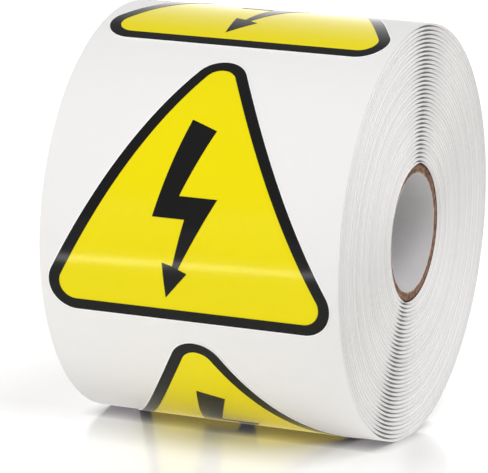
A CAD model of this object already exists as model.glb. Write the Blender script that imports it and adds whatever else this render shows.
import math

import bpy
from mathutils import Matrix, Vector


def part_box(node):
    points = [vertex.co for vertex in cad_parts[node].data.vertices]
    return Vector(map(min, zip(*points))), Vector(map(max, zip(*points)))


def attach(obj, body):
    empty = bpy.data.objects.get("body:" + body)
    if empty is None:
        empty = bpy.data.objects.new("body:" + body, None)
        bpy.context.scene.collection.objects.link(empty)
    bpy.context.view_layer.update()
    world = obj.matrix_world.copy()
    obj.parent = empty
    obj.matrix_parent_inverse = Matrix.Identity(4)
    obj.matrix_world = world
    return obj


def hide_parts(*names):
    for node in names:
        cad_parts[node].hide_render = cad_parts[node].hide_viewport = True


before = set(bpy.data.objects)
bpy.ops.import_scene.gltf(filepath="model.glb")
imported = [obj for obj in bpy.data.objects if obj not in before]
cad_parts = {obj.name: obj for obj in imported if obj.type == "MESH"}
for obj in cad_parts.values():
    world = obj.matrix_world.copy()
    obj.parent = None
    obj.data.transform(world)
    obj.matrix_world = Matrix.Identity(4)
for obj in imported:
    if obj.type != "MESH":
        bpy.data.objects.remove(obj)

bl_info = {
    "name": "Roll of warning labels",
    "version": (1, 0, 0),
    "blender": (4, 5, 0),
    "location": "3D View > Sidebar > Label Roll",
    "description": "Builds a roll of triangular high voltage warning labels on its backing web",
    "category": "Object",
}

MM = 0.001

# Sizes taken from the CAD solids
web_low, web_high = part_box("web")
core_low, core_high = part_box("core_tube")
film_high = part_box("label_back")[1]
ink_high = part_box("print_back")[1]
ROLL_RADIUS = (web_high.y - web_low.y) / 2
AXIS_HEIGHT = web_high.z - ROLL_RADIUS
WEB_WIDTH = web_high.x - web_low.x
CORE_RADIUS = (core_high.z - core_low.z) / 2
CORE_LENGTH = core_high.x - core_low.x
FILM_RADIUS = film_high.y
# The print stays a hair under the solids' own, so that no side of it stands out of their box
INK_RADIUS = ink_high.y - 0.02 * MM

# The labels in their order up from the floor, over the top and down the back
LABEL_NAMES = ("below", "front", "top", "back")

# Greatest height of the strips that a flat sheet is cut into before it is bent
STRIP_HEIGHT = 1.6 * MM

# Strips that the web's free end is cut into
FREE_END_STRIPS = 16

# Steps of the spins that close the web and the core, and of the round end of a turn
WEB_STEPS = 144
CORE_STEPS = 128
CREST_STEPS = 5

# Corners of the circle that a label's rounded corners come from
CORNER_STEPS = 72

# Skin of the outermost turn, which no slot darkens
SKIN = 0.3 * MM

# Roughness of the labels' glossy film and ink
FILM_ROUGHNESS = 0.14


# Properties


class RollSizes(bpy.types.PropertyGroup):
    """Sizes of the wound web, its free end and its core"""

    turns: bpy.props.IntProperty(
        name="Turns",
        description="Turns of web that show on each end of the roll",
        default=33,
        min=8,
        max=60,
    )
    slot_depth: bpy.props.FloatProperty(
        name="Slot depth",
        description="How far the slot between two turns reaches in from the end",
        default=3.2 * MM,
        subtype="DISTANCE",
        unit="LENGTH",
    )
    slot_lean: bpy.props.FloatProperty(
        name="Slot lean",
        description="How much nearer the core a slot's floor lies than its mouth",
        default=0.6 * MM,
        subtype="DISTANCE",
        unit="LENGTH",
    )
    slot_share: bpy.props.FloatProperty(
        name="Slot share",
        description="Share of the spacing of two turns that is open slot",
        default=0.55,
        min=0.1,
        max=0.8,
        subtype="FACTOR",
    )
    turn_stagger: bpy.props.FloatProperty(
        name="Turn stagger",
        description="How far a turn may sit in from the very end of the roll",
        default=0.22 * MM,
        subtype="DISTANCE",
        unit="LENGTH",
    )
    bore_radius: bpy.props.FloatProperty(
        name="Bore radius",
        description="Inner radius of the core's lining",
        default=20.2 * MM,
        subtype="DISTANCE",
        unit="LENGTH",
    )
    ply_thickness: bpy.props.FloatProperty(
        name="Inner ply",
        description="Thickness of the core's pale inner ply",
        default=0.18 * MM,
        subtype="DISTANCE",
        unit="LENGTH",
    )
    free_end_step: bpy.props.FloatProperty(
        name="Free end step",
        description="Height of the step where the web's free end stops",
        default=0.2 * MM,
        subtype="DISTANCE",
        unit="LENGTH",
    )
    free_end_run: bpy.props.FloatProperty(
        name="Free end run",
        description="Length over which the free end rises from the turn below it",
        default=32.0 * MM,
        subtype="DISTANCE",
        unit="LENGTH",
    )
    free_end_gap: bpy.props.FloatProperty(
        name="Free end gap",
        description="Bare web between the free end and the next label",
        default=4.3 * MM,
        subtype="DISTANCE",
        unit="LENGTH",
    )


class LabelSizes(bpy.types.PropertyGroup):
    """Sizes of one label, measured flat, and its place on the web"""

    base: bpy.props.FloatProperty(
        name="Base",
        description="Base of the label's triangle with its corners still sharp",
        default=113.4 * MM,
        subtype="DISTANCE",
        unit="LENGTH",
    )
    height: bpy.props.FloatProperty(
        name="Height",
        description="Height of the label's triangle with its corners still sharp",
        default=103.0 * MM,
        subtype="DISTANCE",
        unit="LENGTH",
    )
    corner: bpy.props.FloatProperty(
        name="Corner radius",
        description="Radius of the label's corners",
        default=9.6 * MM,
        subtype="DISTANCE",
        unit="LENGTH",
    )
    border: bpy.props.FloatProperty(
        name="Border width",
        description="Width of the black border",
        default=3.8 * MM,
        subtype="DISTANCE",
        unit="LENGTH",
    )
    margin: bpy.props.FloatProperty(
        name="Margin",
        description="Width of bare white film outside the border",
        default=0.42 * MM,
        subtype="DISTANCE",
        unit="LENGTH",
    )
    gap: bpy.props.FloatProperty(
        name="Gap",
        description="Bare web from one label to the next",
        default=8.7 * MM,
        subtype="DISTANCE",
        unit="LENGTH",
    )
    front_start: bpy.props.FloatProperty(
        name="Front label start",
        description="Lower edge of the front label, along the web from where it faces -Y",
        default=-26.7 * MM,
        subtype="DISTANCE",
        unit="LENGTH",
    )


class Finishes(bpy.types.PropertyGroup):
    """Colours of the papers, the board and the print"""

    paper: bpy.props.FloatVectorProperty(
        name="Backing paper",
        description="Colour of the backing web",
        default=(0.88, 0.87, 0.864),
        size=3,
        subtype="COLOR",
    )
    through_light: bpy.props.FloatProperty(
        name="Light through the paper",
        description="Light that reaches the sides of a slot through the paper's edge",
        default=0.28,
        min=0.0,
        max=1.0,
        subtype="FACTOR",
    )
    board: bpy.props.FloatVectorProperty(
        name="Core board",
        description="Colour of the core's board",
        default=(0.28, 0.16, 0.105),
        size=3,
        subtype="COLOR",
    )
    lining: bpy.props.FloatVectorProperty(
        name="Core lining",
        description="Colour of the core's inner ply",
        default=(0.73, 0.715, 0.72),
        size=3,
        subtype="COLOR",
    )
    yellow: bpy.props.FloatVectorProperty(
        name="Yellow film",
        description="Colour of the label's face",
        default=(0.88, 0.745, 0.001),
        size=3,
        subtype="COLOR",
    )
    ink: bpy.props.FloatVectorProperty(
        name="Black ink",
        description="Colour of the border and the bolt",
        default=(0.008, 0.008, 0.008),
        size=3,
        subtype="COLOR",
    )


# Corners of the bolt, as (across, up) in millimetres from the middle of the label's lower edge
BOLT_CORNERS = (
    (-4.5, 68.4),
    (-12.8, 34.8),
    (-1.3, 34.8),
    (-4.9, 19.0),
    (-8.6, 20.0),
    (-7.6, 8.0),
    (0.2, 16.9),
    (-2.9, 18.2),
    (9.6, 42.3),
    (-4.0, 42.3),
    (4.9, 65.1),
)


# Modelling helpers


def deselect_all():
    """Leave edit mode and select nothing."""
    if bpy.context.object and bpy.context.object.mode != "OBJECT":
        bpy.ops.object.mode_set(mode="OBJECT")
    bpy.ops.object.select_all(action="DESELECT")


def activate(piece):
    """Select one piece alone and make it the active one."""
    deselect_all()
    bpy.context.view_layer.objects.active = piece
    piece.select_set(True)


def new_piece(name):
    """Take up the primitive that was just added, put its place into its mesh and name it."""
    piece = bpy.context.object
    bpy.ops.object.transform_apply(location=True, rotation=True, scale=True)
    piece.name = name
    piece.data.name = name
    return piece


def select_vertices(piece, chosen):
    """In edit mode, select only the vertices that pass a test."""
    bpy.ops.object.mode_set(mode="EDIT")
    bpy.ops.mesh.select_mode(type="VERT")
    bpy.ops.mesh.select_all(action="DESELECT")
    bpy.ops.object.mode_set(mode="OBJECT")
    for vertex in piece.data.vertices:
        vertex.select = chosen(vertex)
    bpy.ops.object.mode_set(mode="EDIT")


def select_faces(piece, chosen):
    """In edit mode, select only the faces that pass a test."""
    activate(piece)
    bpy.ops.object.mode_set(mode="EDIT")
    bpy.ops.mesh.select_mode(type="FACE")
    bpy.ops.mesh.select_all(action="DESELECT")
    bpy.ops.object.mode_set(mode="OBJECT")
    for polygon in piece.data.polygons:
        polygon.select = chosen(polygon)
    bpy.ops.object.mode_set(mode="EDIT")


def single_point(name, place):
    """A mesh with one vertex, made from a small plane, in edit mode and selected."""
    deselect_all()
    bpy.ops.mesh.primitive_plane_add(size=MM, location=place)
    piece = new_piece(name)
    bpy.ops.object.mode_set(mode="EDIT")
    bpy.ops.mesh.select_all(action="SELECT")
    bpy.ops.mesh.merge(type="CENTER")
    return piece


def draw_on(start, points):
    """Extrude the selected vertex from one point of the XZ plane to the next."""
    x, z = start
    for next_x, next_z in points:
        bpy.ops.mesh.extrude_region_move(
            TRANSFORM_OT_translate={"value": (next_x - x, 0, next_z - z)}
        )
        x, z = next_x, next_z


def apply_modifier(piece, kind, **settings):
    """Add a modifier with its settings and apply it."""
    activate(piece)
    modifier = piece.modifiers.new(kind.title(), kind)
    for key, value in settings.items():
        setattr(modifier, key, value)
    bpy.ops.object.modifier_apply(modifier=modifier.name)


def spin_closed(piece, steps):
    """Turn the profile once round the roll's axis and close the seam."""
    activate(piece)
    bpy.ops.object.mode_set(mode="EDIT")
    bpy.ops.mesh.select_all(action="SELECT")
    bpy.ops.mesh.spin(
        steps=steps, angle=math.tau, center=(0, 0, AXIS_HEIGHT), axis=(1, 0, 0)
    )
    bpy.ops.mesh.select_all(action="SELECT")
    bpy.ops.mesh.remove_doubles(threshold=0.002 * MM)
    bpy.ops.mesh.normals_make_consistent(inside=False)
    bpy.ops.object.mode_set(mode="OBJECT")


def press_flat(piece, floor):
    """Flatten what lies below a height onto it, as where a soft roll rests."""
    activate(piece)
    select_vertices(piece, lambda vertex: vertex.co.z < floor)
    bpy.ops.transform.resize(value=(1, 1, 0), center_override=(0, 0, floor))
    bpy.ops.object.mode_set(mode="OBJECT")


def shade(piece, angle):
    """Shade a piece smooth, but for edges sharper than an angle in degrees."""
    activate(piece)
    bpy.ops.object.shade_smooth_by_angle(angle=math.radians(angle))


def dress(piece, *materials):
    """Give a piece its finishes."""
    piece.data.materials.clear()
    for material in materials:
        piece.data.materials.append(material)


def enter(piece, slot, *nodes):
    """Give a piece its record slot, its body and the CAD nodes it stands for."""
    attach(piece, "root")
    if nodes:
        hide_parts(*nodes)


def copied(piece, name):
    """A copy of a piece with a mesh of its own."""
    activate(piece)
    bpy.ops.object.duplicate(linked=False)
    copy = bpy.context.object
    copy.name = name
    copy.data.name = name
    return copy


# Shader node groups


def add_node(tree, kind, **inputs):
    """Add a node and set its inputs or settings by name."""
    node = tree.nodes.new(kind)
    for key, value in inputs.items():
        if key in node.inputs:
            node.inputs[key].default_value = value
        else:
            setattr(node, key, value)
    return node


def calculated(tree, operation, *values):
    """Result of a maths node that takes sockets or plain numbers."""
    node = add_node(tree, "ShaderNodeMath", operation=operation)
    for entry, value in zip(node.inputs, values):
        if isinstance(value, float):
            entry.default_value = value
        else:
            tree.links.new(value, entry)
    return node.outputs[0]


def fibre_group():
    """Soft mottling of paper and board, as a factor around one and a height."""
    name = "Paper fibre"
    if name in bpy.data.node_groups:
        return bpy.data.node_groups[name]
    tree = bpy.data.node_groups.new(name, "ShaderNodeTree")
    tree.interface.new_socket("Scale", in_out="INPUT", socket_type="NodeSocketFloat")
    tree.interface.new_socket("Strength", in_out="INPUT", socket_type="NodeSocketFloat")
    tree.interface.new_socket("Tone", in_out="OUTPUT", socket_type="NodeSocketFloat")
    tree.interface.new_socket("Height", in_out="OUTPUT", socket_type="NodeSocketFloat")
    entry = tree.nodes.new("NodeGroupInput")
    leave = tree.nodes.new("NodeGroupOutput")
    place = tree.nodes.new("ShaderNodeTexCoord")
    noise = add_node(tree, "ShaderNodeTexNoise", Detail=4.0, Roughness=0.6)
    tree.links.new(place.outputs["Object"], noise.inputs["Vector"])
    tree.links.new(entry.outputs["Scale"], noise.inputs["Scale"])
    centred = calculated(tree, "SUBTRACT", noise.outputs["Fac"], 0.5)
    scaled = calculated(tree, "MULTIPLY", centred, entry.outputs["Strength"])
    toned = calculated(tree, "ADD", scaled, 1.0)
    tree.links.new(toned, leave.inputs["Tone"])
    tree.links.new(noise.outputs["Fac"], leave.inputs["Height"])
    return tree


def distance_group():
    """Distance of a point from the roll's axis and from its middle plane, in metres."""
    name = "Roll distance"
    if name in bpy.data.node_groups:
        return bpy.data.node_groups[name]
    tree = bpy.data.node_groups.new(name, "ShaderNodeTree")
    tree.interface.new_socket("Axis height", in_out="INPUT", socket_type="NodeSocketFloat")
    tree.interface.new_socket("Radius", in_out="OUTPUT", socket_type="NodeSocketFloat")
    tree.interface.new_socket("Side", in_out="OUTPUT", socket_type="NodeSocketFloat")
    entry = tree.nodes.new("NodeGroupInput")
    leave = tree.nodes.new("NodeGroupOutput")
    place = tree.nodes.new("ShaderNodeTexCoord")
    parts = tree.nodes.new("ShaderNodeSeparateXYZ")
    tree.links.new(place.outputs["Object"], parts.inputs[0])
    raised = calculated(tree, "SUBTRACT", parts.outputs["Z"], entry.outputs["Axis height"])
    flat = tree.nodes.new("ShaderNodeCombineXYZ")
    tree.links.new(parts.outputs["Y"], flat.inputs["Y"])
    tree.links.new(raised, flat.inputs["Z"])
    length = add_node(tree, "ShaderNodeVectorMath", operation="LENGTH")
    tree.links.new(flat.outputs[0], length.inputs[0])
    tree.links.new(length.outputs["Value"], leave.inputs["Radius"])
    side = calculated(tree, "ABSOLUTE", parts.outputs["X"])
    tree.links.new(side, leave.inputs["Side"])
    return tree


def use_group(tree, group, **inputs):
    """Add a node group and set its inputs, with _ for a space in a name."""
    node = tree.nodes.new("ShaderNodeGroup")
    node.node_tree = group
    for key, value in inputs.items():
        node.inputs[key.replace("_", " ")].default_value = value
    return node


# Materials


def new_material(name, roughness, specular):
    """A material, its node tree and its surface shader."""
    material = bpy.data.materials.new(name)
    material.use_nodes = True
    surface = material.node_tree.nodes["Principled BSDF"]
    surface.inputs["Roughness"].default_value = roughness
    surface.inputs["Specular IOR Level"].default_value = specular
    return material, material.node_tree, surface


def tinted(tree, colour, factor):
    """A colour times a factor socket."""
    mix = tree.nodes.new("ShaderNodeVectorMath")
    mix.operation = "SCALE"
    mix.inputs[0].default_value = colour
    tree.links.new(factor, mix.inputs["Scale"])
    return mix.outputs[0]


def bumped(tree, surface, height, distance, strength):
    """Raise a surface by a height socket."""
    bump = tree.nodes.new("ShaderNodeBump")
    bump.inputs["Distance"].default_value = distance
    bump.inputs["Strength"].default_value = strength
    tree.links.new(height, bump.inputs["Height"])
    tree.links.new(bump.outputs[0], surface.inputs["Normal"])


def ranged(tree, value, low, high, low_to, high_to):
    """A socket's value carried from one range to another, and kept inside it."""
    node = tree.nodes.new("ShaderNodeMapRange")
    node.inputs["From Min"].default_value = low
    node.inputs["From Max"].default_value = high
    node.inputs["To Min"].default_value = low_to
    node.inputs["To Max"].default_value = high_to
    tree.links.new(value, node.inputs["Value"])
    return node.outputs["Result"]


def paper_material(name, sizes, finishes, deep, shallow):
    """White backing paper that darkens in a slot, from a shallow to a deep share of its depth.

    A slot's sides are lighter near its mouth, because the paper lets light through at its edge.
    """
    material, tree, surface = new_material(name, 0.55, 0.25)
    fibre = use_group(tree, fibre_group(), Scale=220.0, Strength=0.025)
    reach = use_group(tree, distance_group(), Axis_height=AXIS_HEIGHT)
    side = reach.outputs["Side"]
    radius = reach.outputs["Radius"]
    half = WEB_WIDTH / 2
    # Dark in the slots, light at their mouths and on the skin of the outermost turn
    low = half - deep * sizes.slot_depth
    high = half - shallow * sizes.slot_depth
    lit = ranged(tree, side, low, high, 0.0, 1.0)
    skin = ROLL_RADIUS - SKIN
    outside = ranged(tree, radius, skin - 0.1 * MM, skin, 0.0, 1.0)
    shown = calculated(tree, "MAXIMUM", lit, outside)
    slot_tone = ranged(tree, shown, 0.0, 1.0, 0.28, 1.0)
    # Faint rings, since no two turns are quite the same white
    rings = add_node(tree, "ShaderNodeTexNoise", Detail=2.0, Scale=900.0)
    rings.noise_dimensions = "1D"
    tree.links.new(radius, rings.inputs["W"])
    ring_tone = ranged(tree, rings.outputs["Fac"], 0.3, 0.7, 0.95, 1.0)
    tone = calculated(tree, "MULTIPLY", fibre.outputs["Tone"], slot_tone)
    tone = calculated(tree, "MULTIPLY", tone, ring_tone)
    tree.links.new(tinted(tree, finishes.paper, tone), surface.inputs["Base Color"])
    # Light through the paper on a slot's sides, none on the crests and less of it further in
    covered = ranged(tree, side, half - 0.7 * MM, half - 0.15 * MM, finishes.through_light, 0.0)
    inside = calculated(tree, "SUBTRACT", 1.0, outside)
    passed = ranged(tree, lit, 0.0, 1.0, 0.32, 1.0)
    through = calculated(tree, "MULTIPLY", covered, inside)
    through = calculated(tree, "MULTIPLY", through, passed)
    tree.links.new(tinted(tree, finishes.paper, through), surface.inputs["Emission Color"])
    surface.inputs["Emission Strength"].default_value = 1.0
    return material


def board_material(finishes, inner_radius):
    """Brown board in plies, a little rough at its cut ends."""
    material, tree, surface = new_material("Core board", 0.85, 0.15)
    fibre = use_group(tree, fibre_group(), Scale=620.0, Strength=3.2)
    reach = use_group(tree, distance_group(), Axis_height=AXIS_HEIGHT)
    radius = reach.outputs["Radius"]
    plies = add_node(tree, "ShaderNodeTexNoise", Detail=2.0, Scale=2600.0)
    plies.noise_dimensions = "1D"
    tree.links.new(radius, plies.inputs["W"])
    ply_tone = ranged(tree, plies.outputs["Fac"], 0.3, 0.7, 0.65, 1.25)
    # Shaded by the paper round it, and paler where the inner ply is glued on
    outer_edge = ranged(tree, radius, CORE_RADIUS - 1.3 * MM, CORE_RADIUS - 0.35 * MM, 1.0, 0.1)
    inner_edge = ranged(tree, radius, inner_radius, inner_radius + 0.7 * MM, 1.6, 1.0)
    edges = calculated(tree, "MULTIPLY", outer_edge, inner_edge)
    tone = calculated(tree, "MULTIPLY", ply_tone, edges)
    tone = calculated(tree, "MULTIPLY", fibre.outputs["Tone"], tone)
    tree.links.new(tinted(tree, finishes.board, tone), surface.inputs["Base Color"])
    bumped(tree, surface, fibre.outputs["Height"], 0.1 * MM, 0.4)
    return material


def lining_material(finishes):
    """Grey-white inner ply of the core."""
    material, tree, surface = new_material("Core lining paper", 0.75, 0.2)
    fibre = use_group(tree, fibre_group(), Scale=400.0, Strength=0.06)
    tree.links.new(
        tinted(tree, finishes.lining, fibre.outputs["Tone"]), surface.inputs["Base Color"]
    )
    return material


def film_material(name, colour, roughness):
    """Smooth film with a faint gloss."""
    material, tree, surface = new_material(name, roughness, 0.2)
    fibre = use_group(tree, fibre_group(), Scale=60.0, Strength=0.015)
    tree.links.new(tinted(tree, colour, fibre.outputs["Tone"]), surface.inputs["Base Color"])
    return material


# Pieces


def turn_end(inner, outer, crest, valley, lean):
    """The rounded end of one turn as points out along the radius, from slot floor to slot floor."""
    middle = (inner + outer) / 2
    half = (outer - inner) / 2
    points = [(valley, inner - lean)]
    for step in range(CREST_STEPS + 1):
        turn = math.pi * step / CREST_STEPS
        points.append((crest - half + half * math.sin(turn), middle - half * math.cos(turn)))
    points.append((valley, outer - lean))
    return points


def looks_inward(face):
    """Tell whether a face is on the side of a turn that looks towards the core."""
    inward = Vector((0, -face.center.y, AXIS_HEIGHT - face.center.z))
    in_slot = CORE_RADIUS + 0.1 * MM < inward.length < ROLL_RADIUS - SKIN
    return in_slot and face.normal.dot(inward.normalized()) > 0.5


def sunk_share(turn):
    """Share of the stagger that a turn sits in by, uneven from turn to turn.

    Every ninth turn stands right at the end of the roll.
    """
    if turn % 9 == 4:
        return 0.0
    return 0.5 + 0.5 * math.sin(turn * 2.4) * math.cos(turn * 0.7)


def web_profile(sizes):
    """Half of the web's section, from its outer middle round the end to the core.

    The slot outside the innermost turn is half as deep on that turn's side.
    """
    half = WEB_WIDTH / 2
    pitch = (ROLL_RADIUS - CORE_RADIUS) / sizes.turns
    points = []
    for turn in range(sizes.turns + 1):
        crest = half - sizes.turn_stagger * sunk_share(turn)
        share = min(1.0, (turn + 1) / 2)
        valley = half - sizes.slot_depth * share
        inner = CORE_RADIUS + (turn - 0.6 + sizes.slot_share / 2) * pitch
        outer = CORE_RADIUS + (turn + 0.4 - sizes.slot_share / 2) * pitch
        inner = max(inner, CORE_RADIUS)
        outer = min(outer, ROLL_RADIUS)
        points += turn_end(inner, outer, crest, valley, sizes.slot_lean * share)
    points = points[1:-1]
    points.reverse()
    points.append((0, CORE_RADIUS))
    return [(x, AXIS_HEIGHT + radius) for x, radius in points]


class LABELROLL_OT_web(bpy.types.Operator):
    """Wind the backing web, with a bead on each end for every turn"""

    bl_idname = "label_roll.web"
    bl_label = "Wound Web"

    def execute(self, context):
        sizes = context.scene.roll_sizes
        start = (0, AXIS_HEIGHT + ROLL_RADIUS)
        web = single_point("web_turns", (start[0], 0, start[1]))
        draw_on(start, web_profile(sizes))
        bpy.ops.object.mode_set(mode="OBJECT")
        apply_modifier(web, "MIRROR", use_axis=(True, False, False), merge_threshold=0.01 * MM)
        spin_closed(web, WEB_STEPS)
        press_flat(web, 0.0)
        shade(web, 60)
        finishes = context.scene.finishes
        paper = paper_material("Backing paper", sizes, finishes, deep=0.72, shallow=0.62)
        shaded = paper_material("Inner side of a turn", sizes, finishes, deep=0.6, shallow=0.2)
        dress(web, paper, shaded)
        enter(web, "web_paper", "web")
        select_faces(web, looks_inward)
        web.active_material_index = 1
        bpy.ops.object.material_slot_assign()
        bpy.ops.object.mode_set(mode="OBJECT")
        return {"FINISHED"}


def core_tube(name, inner, outer, edge):
    """A tube as long as the core, with the edges of its ends broken."""
    half = CORE_LENGTH / 2
    rows = [
        (half - edge, outer),
        (half, outer - edge),
        (half, inner + edge),
        (half - edge, inner),
        (0, inner),
    ]
    start = (0, AXIS_HEIGHT + outer)
    tube = single_point(name, (0, 0, start[1]))
    draw_on(start, [(x, AXIS_HEIGHT + radius) for x, radius in rows])
    bpy.ops.object.mode_set(mode="OBJECT")
    apply_modifier(tube, "MIRROR", use_axis=(True, False, False), merge_threshold=0.01 * MM)
    spin_closed(tube, CORE_STEPS)
    shade(tube, 35)
    return tube


class LABELROLL_OT_core(bpy.types.Operator):
    """Turn the core's board tube and its lining"""

    bl_idname = "label_roll.core"
    bl_label = "Core"

    def execute(self, context):
        sizes = context.scene.roll_sizes
        finishes = context.scene.finishes
        ply_radius = sizes.bore_radius + sizes.ply_thickness
        board = core_tube("core_board", ply_radius, CORE_RADIUS, 0.25 * MM)
        dress(board, board_material(finishes, ply_radius))
        enter(board, "core_board", "core_tube")
        ply = core_tube("core_inner_ply", sizes.bore_radius, ply_radius, 0.06 * MM)
        dress(ply, lining_material(finishes))
        enter(ply, "lining_paper", "core_lining")
        return {"FINISHED"}


def label_pitch(label):
    """Length of web from one label to the next: its height, with the corners rounded, and the gap."""
    slope = math.atan2(label.height, label.base / 2)
    return label.height - label.corner * (1 / math.cos(slope) - 1) + label.gap


def rounded_triangle(name, label, grown, lift):
    """Flat face of the label's outline, grown all round, standing in the XZ plane.

    It faces -Y and stands off the plane by a lift.
    A circle is parted where its rim has the slope of a side, and a part goes to each corner.
    """
    slope = math.atan2(label.height, label.base / 2)
    inset = label.corner / math.tan(slope / 2)
    right = Vector((label.base / 2 - inset, 0, label.corner))
    top = Vector((0, 0, label.height - label.corner / math.cos(slope)))
    left = Vector((-right.x, 0, right.z))
    side = math.pi / 2 - slope
    deselect_all()
    bpy.ops.mesh.primitive_circle_add(
        vertices=CORNER_STEPS,
        radius=label.corner + grown,
        fill_type="NGON",
        rotation=(math.pi / 2, 0, 0),
    )
    piece = new_piece(name)
    right_arc = []
    top_arc = []
    left_arc = []
    for vertex in piece.data.vertices:
        turn = math.atan2(vertex.co.z, vertex.co.x)
        if side < turn < math.pi - side:
            top_arc.append(vertex.index)
        elif -math.pi / 2 < turn <= side:
            right_arc.append(vertex.index)
        else:
            left_arc.append(vertex.index)
    for arc, centre in ((right_arc, right), (top_arc, top), (left_arc, left)):
        select_vertices(piece, lambda vertex: vertex.index in arc)
        bpy.ops.transform.translate(value=centre + Vector((0, -lift, 0)))
    bpy.ops.object.mode_set(mode="OBJECT")
    return piece


def bolt_shape(name, lift):
    """Flat face of the lightning bolt, standing off the XZ plane by a lift."""
    deselect_all()
    bpy.ops.mesh.primitive_circle_add(
        vertices=len(BOLT_CORNERS),
        radius=10 * MM,
        fill_type="NGON",
        rotation=(math.pi / 2, 0, 0),
    )
    piece = new_piece(name)
    order = sorted(piece.data.vertices, key=lambda v: math.atan2(v.co.z, v.co.x))
    indices = [vertex.index for vertex in order]
    for index, (across, up) in zip(indices, BOLT_CORNERS):
        goal = Vector((across * MM, -lift, up * MM))
        move = goal - piece.data.vertices[index].co
        select_vertices(piece, lambda vertex: vertex.index == index)
        bpy.ops.transform.translate(value=move)
        bpy.ops.object.mode_set(mode="OBJECT")
    bpy.ops.object.mode_set(mode="EDIT")
    bpy.ops.mesh.select_all(action="SELECT")
    bpy.ops.mesh.quads_convert_to_tris()
    bpy.ops.object.mode_set(mode="OBJECT")
    return piece


def slice_across(piece, spacing):
    """Cut a standing sheet into strips, so that it can bend smoothly."""
    heights = [vertex.co.z for vertex in piece.data.vertices]
    low, high = min(heights), max(heights)
    count = int((high - low) / spacing)
    activate(piece)
    bpy.ops.object.mode_set(mode="EDIT")
    for step in range(1, count + 1):
        bpy.ops.mesh.select_all(action="SELECT")
        bpy.ops.mesh.bisect(
            plane_co=(0, 0, low + (high - low) * step / (count + 1)), plane_no=(0, 0, 1)
        )
    bpy.ops.object.mode_set(mode="OBJECT")


def wrap(piece, start):
    """Bend a flat sheet round the roll, from a start measured along the web."""
    activate(piece)
    bpy.ops.transform.translate(value=(0, 0, start))
    bpy.ops.object.transform_apply(location=True, rotation=True, scale=True)
    heights = [vertex.co.z for vertex in piece.data.vertices]
    apply_modifier(
        piece,
        "SIMPLE_DEFORM",
        deform_method="BEND",
        deform_axis="X",
        angle=(max(heights) - min(heights)) / ROLL_RADIUS,
    )
    activate(piece)
    bpy.ops.transform.translate(value=(0, -ROLL_RADIUS, AXIS_HEIGHT))
    bpy.ops.object.transform_apply(location=True, rotation=True, scale=True)


def flat_film(label, finishes, thickness):
    """One label's film, not yet bent, yellow inside its white margin."""
    yellow = film_material("Yellow film", finishes.yellow, FILM_ROUGHNESS)
    white = film_material("Film edge", (0.99, 0.99, 0.99), 0.3)
    film = rounded_triangle("flat_film", label, label.margin, 0.0)
    dress(film, yellow, white)
    activate(film)
    bpy.ops.object.mode_set(mode="EDIT")
    bpy.ops.mesh.select_mode(type="FACE")
    bpy.ops.mesh.select_all(action="SELECT")
    bpy.ops.mesh.inset(thickness=label.margin + label.border / 2, depth=0)
    bpy.ops.mesh.select_all(action="INVERT")
    film.active_material_index = 1
    bpy.ops.object.material_slot_assign()
    bpy.ops.object.mode_set(mode="OBJECT")
    slice_across(film, STRIP_HEIGHT)
    apply_modifier(film, "SOLIDIFY", thickness=thickness, offset=1.0)
    return film


def flat_ink(label, finishes, lift, thickness):
    """One label's border and bolt, not yet bent, a lift away from the web."""
    border = rounded_triangle("flat_ink", label, 0.0, lift)
    activate(border)
    bpy.ops.object.mode_set(mode="EDIT")
    bpy.ops.mesh.select_all(action="SELECT")
    bpy.ops.mesh.inset(thickness=label.border, depth=0)
    bpy.ops.mesh.delete(type="FACE")
    bpy.ops.object.mode_set(mode="OBJECT")
    bolt = bolt_shape("bolt", lift)
    activate(border)
    bolt.select_set(True)
    bpy.ops.object.join()
    slice_across(border, STRIP_HEIGHT)
    apply_modifier(border, "SOLIDIFY", thickness=thickness, offset=1.0)
    dress(border, film_material("Black ink", finishes.ink, FILM_ROUGHNESS))
    return border


class LABELROLL_OT_labels(bpy.types.Operator):
    """Cut the labels, print them and lay them round the outer turn"""

    bl_idname = "label_roll.labels"
    bl_label = "Labels"

    def execute(self, context):
        label = context.scene.label_sizes
        finishes = context.scene.finishes
        film_thickness = FILM_RADIUS - ROLL_RADIUS
        ink_thickness = INK_RADIUS - FILM_RADIUS
        first_film = flat_film(label, finishes, film_thickness)
        first_ink = flat_ink(label, finishes, film_thickness, ink_thickness)
        for number, name in enumerate(LABEL_NAMES):
            start = label.front_start + label_pitch(label) * (number - 1)
            film = copied(first_film, "label_film_" + name)
            ink = copied(first_ink, "label_ink_" + name)
            wrap(film, start)
            wrap(ink, start)
            if name == "below":
                press_flat(film, ink_thickness)
                press_flat(ink, 0.0)
            shade(film, 40)
            shade(ink, 40)
            enter(film, "yellow_film", "label_" + name)
            enter(ink, "black_print", "print_" + name)
        activate(first_film)
        first_ink.select_set(True)
        bpy.ops.object.delete()
        return {"FINISHED"}


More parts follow.
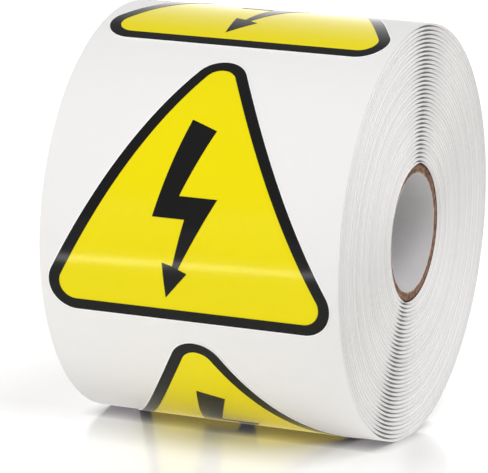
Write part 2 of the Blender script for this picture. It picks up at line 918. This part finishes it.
class LABELROLL_OT_free_end(bpy.types.Operator):
    """Lay the web's free end on the roll"""

    bl_idname = "label_roll.free_end"
    bl_label = "Free End"

    def execute(self, context):
        sizes = context.scene.roll_sizes
        label = context.scene.label_sizes
        below_start = label.front_start - label_pitch(label)
        end = below_start - sizes.free_end_gap + math.tau * ROLL_RADIUS
        width = WEB_WIDTH - 2 * sizes.turn_stagger
        deselect_all()
        bpy.ops.mesh.primitive_plane_add(
            size=1.0,
            location=(0, 0, end - sizes.free_end_run / 2),
            rotation=(math.pi / 2, 0, 0),
        )
        bpy.context.object.scale = (width, sizes.free_end_run, 1.0)
        tail = new_piece("web_free_end")
        apply_modifier(tail, "SOLIDIFY", thickness=sizes.free_end_step, offset=1.0)
        # The edge away from the step is thinned almost to nothing
        thin_edge = end - 0.99 * sizes.free_end_run
        drop = 0.96 * sizes.free_end_step
        select_vertices(tail, lambda vertex: vertex.co.z < thin_edge and vertex.co.y < -drop)
        bpy.ops.transform.translate(value=(0, drop, 0))
        bpy.ops.object.mode_set(mode="OBJECT")
        slice_across(tail, sizes.free_end_run / FREE_END_STRIPS)
        wrap(tail, 0.0)
        shade(tail, 40)
        paper = bpy.data.materials["Backing paper"]
        dress(tail, paper)
        enter(tail, "web_paper")
        return {"FINISHED"}


# Stage

# The camera fitted to the photograph, with the roll's radius as one and its middle as origin
CAMERA_PLACE = Vector((6.4795, -15.8558, 2.6771))
CAMERA_BACK = Vector((0.37999, -0.91105, 0.16000))
CAMERA_RIGHT = Vector((0.91944, 0.39093, 0.04240))
CAMERA_LENS = 264.36

# Powers of the lamps, in watts
FRONT_POWER = 6.15
LEFT_POWER = 7.5
END_POWER = 6.3
HIGH_POWER = 6.0
STRIP_POWER = 0.12

# Strength of the light from all round, and of the floor's glow as the roll and the camera get it
WORLD_LIGHT = 0.415
FLOOR_LIGHT = 0.08
LIGHT_UNDER = 0.28
GLOW_AHEAD = 0.25
GLOW_BESIDE = 0.06


def add_camera():
    """Stand the camera where the photograph's stood, against the roll."""
    place = CAMERA_PLACE * ROLL_RADIUS + Vector((0, 0, AXIS_HEIGHT))
    bpy.ops.object.camera_add(location=place)
    camera = bpy.context.object
    camera.name = "photo_camera"
    up = CAMERA_BACK.cross(CAMERA_RIGHT)
    turn = Matrix((CAMERA_RIGHT, up, CAMERA_BACK)).transposed().to_4x4()
    camera.matrix_world = Matrix.Translation(place) @ turn
    camera.data.sensor_fit = "HORIZONTAL"
    camera.data.sensor_width = 36
    camera.data.lens = CAMERA_LENS
    camera.data.clip_start = 0.05
    camera.data.clip_end = 50
    bpy.context.scene.camera = camera
    return camera


def add_lamp(name, place, aim, size, size_y, power):
    """A rectangular lamp that looks at a point."""
    bpy.ops.object.light_add(type="AREA", location=place)
    lamp = bpy.context.object
    lamp.name = name
    lamp.rotation_euler = (Vector(aim) - Vector(place)).to_track_quat("-Z", "Y").to_euler()
    lamp.data.shape = "RECTANGLE"
    lamp.data.size = size
    lamp.data.size_y = size_y
    lamp.data.energy = power
    return lamp


def object_place(tree):
    """Sockets with a point's X, Y and Z."""
    place = tree.nodes.new("ShaderNodeTexCoord")
    parts = tree.nodes.new("ShaderNodeSeparateXYZ")
    tree.links.new(place.outputs["Object"], parts.inputs[0])
    return parts.outputs


def blended(tree, kind, factor, first, second):
    """A mix of two colours or numbers, each plain or a socket, by a factor socket."""
    node = add_node(tree, "ShaderNodeMix", data_type=kind)
    tree.links.new(factor, node.inputs[0])
    entries = [entry for entry in node.inputs if entry.enabled][1:]
    for entry, value in zip(entries, (first, second)):
        if isinstance(value, bpy.types.NodeSocket):
            tree.links.new(value, entry)
        else:
            entry.default_value = value
    return next(leave for leave in node.outputs if leave.enabled)


def floor_material():
    """Pale floor with a soft gloss and a faint glow.

    The camera sees it darker under the roll, and a little brighter ahead of it.
    """
    gloss = 0.22
    material, tree, surface = new_material("Studio floor", 0.2, gloss)
    rays = tree.nodes.new("ShaderNodeLightPath")
    seen = rays.outputs["Is Camera Ray"]
    # How open the floor is to its surroundings, for the camera only
    near = add_node(tree, "ShaderNodeAmbientOcclusion", Distance=6 * MM)
    unseen = calculated(tree, "SUBTRACT", 1.0, seen)
    open_share = calculated(tree, "MAXIMUM", near.outputs["AO"], unseen)
    tint = blended(tree, "RGBA", open_share, (0.09, 0.075, 0.1, 1), (0.95, 0.94, 0.925, 1))
    tree.links.new(tint, surface.inputs["Base Color"])
    shine = ranged(tree, open_share, 0.0, 1.0, 0.1, gloss)
    tree.links.new(shine, surface.inputs["Specular IOR Level"])
    # One glow for the camera, and another that lights the roll, strongest where it rests
    depth = object_place(tree)["Y"]
    off_axis = calculated(tree, "ABSOLUTE", depth)
    glow_seen = ranged(
        tree, depth, -1.1 * ROLL_RADIUS, -0.3 * ROLL_RADIUS, GLOW_AHEAD, GLOW_BESIDE
    )
    glow_cast = ranged(
        tree, off_axis, 0.1 * ROLL_RADIUS, 0.7 * ROLL_RADIUS, LIGHT_UNDER, FLOOR_LIGHT
    )
    level = blended(tree, "FLOAT", seen, glow_cast, glow_seen)
    share = ranged(tree, open_share, 0.0, 1.0, 0.5, 1.0)
    glow = calculated(tree, "MULTIPLY", level, share)
    surface.inputs["Emission Color"].default_value = (1, 1, 1, 1)
    tree.links.new(glow, surface.inputs["Emission Strength"])
    return material


def backdrop_material():
    """Bright card behind the roll, dimmer higher up, that shows in the film's gloss."""
    material, tree, surface = new_material("Backdrop card", 1.0, 0.0)
    glow = ranged(tree, object_place(tree)["Z"], 0.3, 2.9, 2.0, WORLD_LIGHT)
    surface.inputs["Base Color"].default_value = (0, 0, 0, 1)
    surface.inputs["Emission Color"].default_value = (1, 1, 1, 1)
    tree.links.new(glow, surface.inputs["Emission Strength"])
    return material


def light_world(scene):
    """Even light from all round, behind a background that the camera sees white."""
    world = scene.world or bpy.data.worlds.new("Studio")
    scene.world = world
    world.use_nodes = True
    tree = world.node_tree
    tree.nodes.clear()
    out = tree.nodes.new("ShaderNodeOutputWorld")
    seen = add_node(tree, "ShaderNodeBackground", Color=(1, 1, 1, 1), Strength=1.0)
    light = add_node(tree, "ShaderNodeBackground", Color=(1, 1, 1, 1), Strength=WORLD_LIGHT)
    rays = tree.nodes.new("ShaderNodeLightPath")
    mix = tree.nodes.new("ShaderNodeMixShader")
    tree.links.new(rays.outputs["Is Camera Ray"], mix.inputs[0])
    tree.links.new(light.outputs[0], mix.inputs[1])
    tree.links.new(seen.outputs[0], mix.inputs[2])
    tree.links.new(mix.outputs[0], out.inputs["Surface"])


class LABELROLL_OT_stage(bpy.types.Operator):
    """Set up the floor, the lamps, the surroundings and the camera"""

    bl_idname = "label_roll.stage"
    bl_label = "Studio"

    def execute(self, context):
        deselect_all()
        bpy.ops.mesh.primitive_plane_add(size=30, location=(0, 0, 0))
        floor = bpy.context.object
        floor.name = "studio_floor"
        floor.data.materials.append(floor_material())
        bpy.ops.mesh.primitive_plane_add(
            size=8, location=(-0.8, 2.0, 4.0), rotation=(math.pi / 2, 0, 0)
        )
        backdrop = new_piece("studio_backdrop")
        backdrop.data.materials.append(backdrop_material())
        backdrop.visible_camera = False
        backdrop.visible_diffuse = False
        backdrop.visible_shadow = False
        front = add_lamp("front_lamp", (-0.3, -1.8, 0.22), (0, 0, 0.05), 1.4, 0.4, FRONT_POWER)
        left = add_lamp("left_lamp", (-1.4, -1.2, 0.25), (0, 0, 0.05), 1.0, 0.45, LEFT_POWER)
        end = add_lamp("end_lamp", (0.8, -0.6, 1.45), (0.05, 0, 0.06), 0.6, 0.6, END_POWER)
        high = add_lamp("high_lamp", (0.5, -0.3, 1.8), (0.05, 0, 0.06), 0.4, 0.4, HIGH_POWER)
        strip = add_lamp(
            "strip_lamp", (-0.047, -0.176, 0.022), (0.0, -0.071, 0.062), 0.6, 0.008, STRIP_POWER
        )
        front.visible_glossy = False
        left.visible_glossy = False
        strip.visible_diffuse = False
        strip.visible_camera = False
        camera = add_camera()
        light_world(context.scene)
        context.scene.view_settings.view_transform = "Standard"
        return {"FINISHED"}


class LABELROLL_PT_panel(bpy.types.Panel):
    """Sizes, colours and steps of the roll of labels"""

    bl_idname = "LABELROLL_PT_panel"
    bl_label = "Label Roll"
    bl_space_type = "VIEW_3D"
    bl_region_type = "UI"
    bl_category = "Label Roll"

    def draw(self, context):
        scene = context.scene
        for group in (scene.roll_sizes, scene.label_sizes, scene.finishes):
            box = self.layout.box()
            for key in group.__annotations__:
                box.prop(group, key)
        for operator in OPERATORS:
            self.layout.operator(operator.bl_idname)


OPERATORS = (
    LABELROLL_OT_web,
    LABELROLL_OT_free_end,
    LABELROLL_OT_core,
    LABELROLL_OT_labels,
    LABELROLL_OT_stage,
)
CLASSES = (RollSizes, LabelSizes, Finishes, *OPERATORS, LABELROLL_PT_panel)


def register():
    for cls in CLASSES:
        bpy.utils.register_class(cls)
    bpy.types.Scene.roll_sizes = bpy.props.PointerProperty(type=RollSizes)
    bpy.types.Scene.label_sizes = bpy.props.PointerProperty(type=LabelSizes)
    bpy.types.Scene.finishes = bpy.props.PointerProperty(type=Finishes)


def unregister():
    del bpy.types.Scene.finishes
    del bpy.types.Scene.label_sizes
    del bpy.types.Scene.roll_sizes
    for cls in reversed(CLASSES):
        bpy.utils.unregister_class(cls)


def main():
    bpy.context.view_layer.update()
    register()
    bpy.ops.label_roll.web()
    bpy.ops.label_roll.free_end()
    bpy.ops.label_roll.core()
    bpy.ops.label_roll.labels()
    bpy.ops.label_roll.stage()


if __name__ == "__main__":
    main()
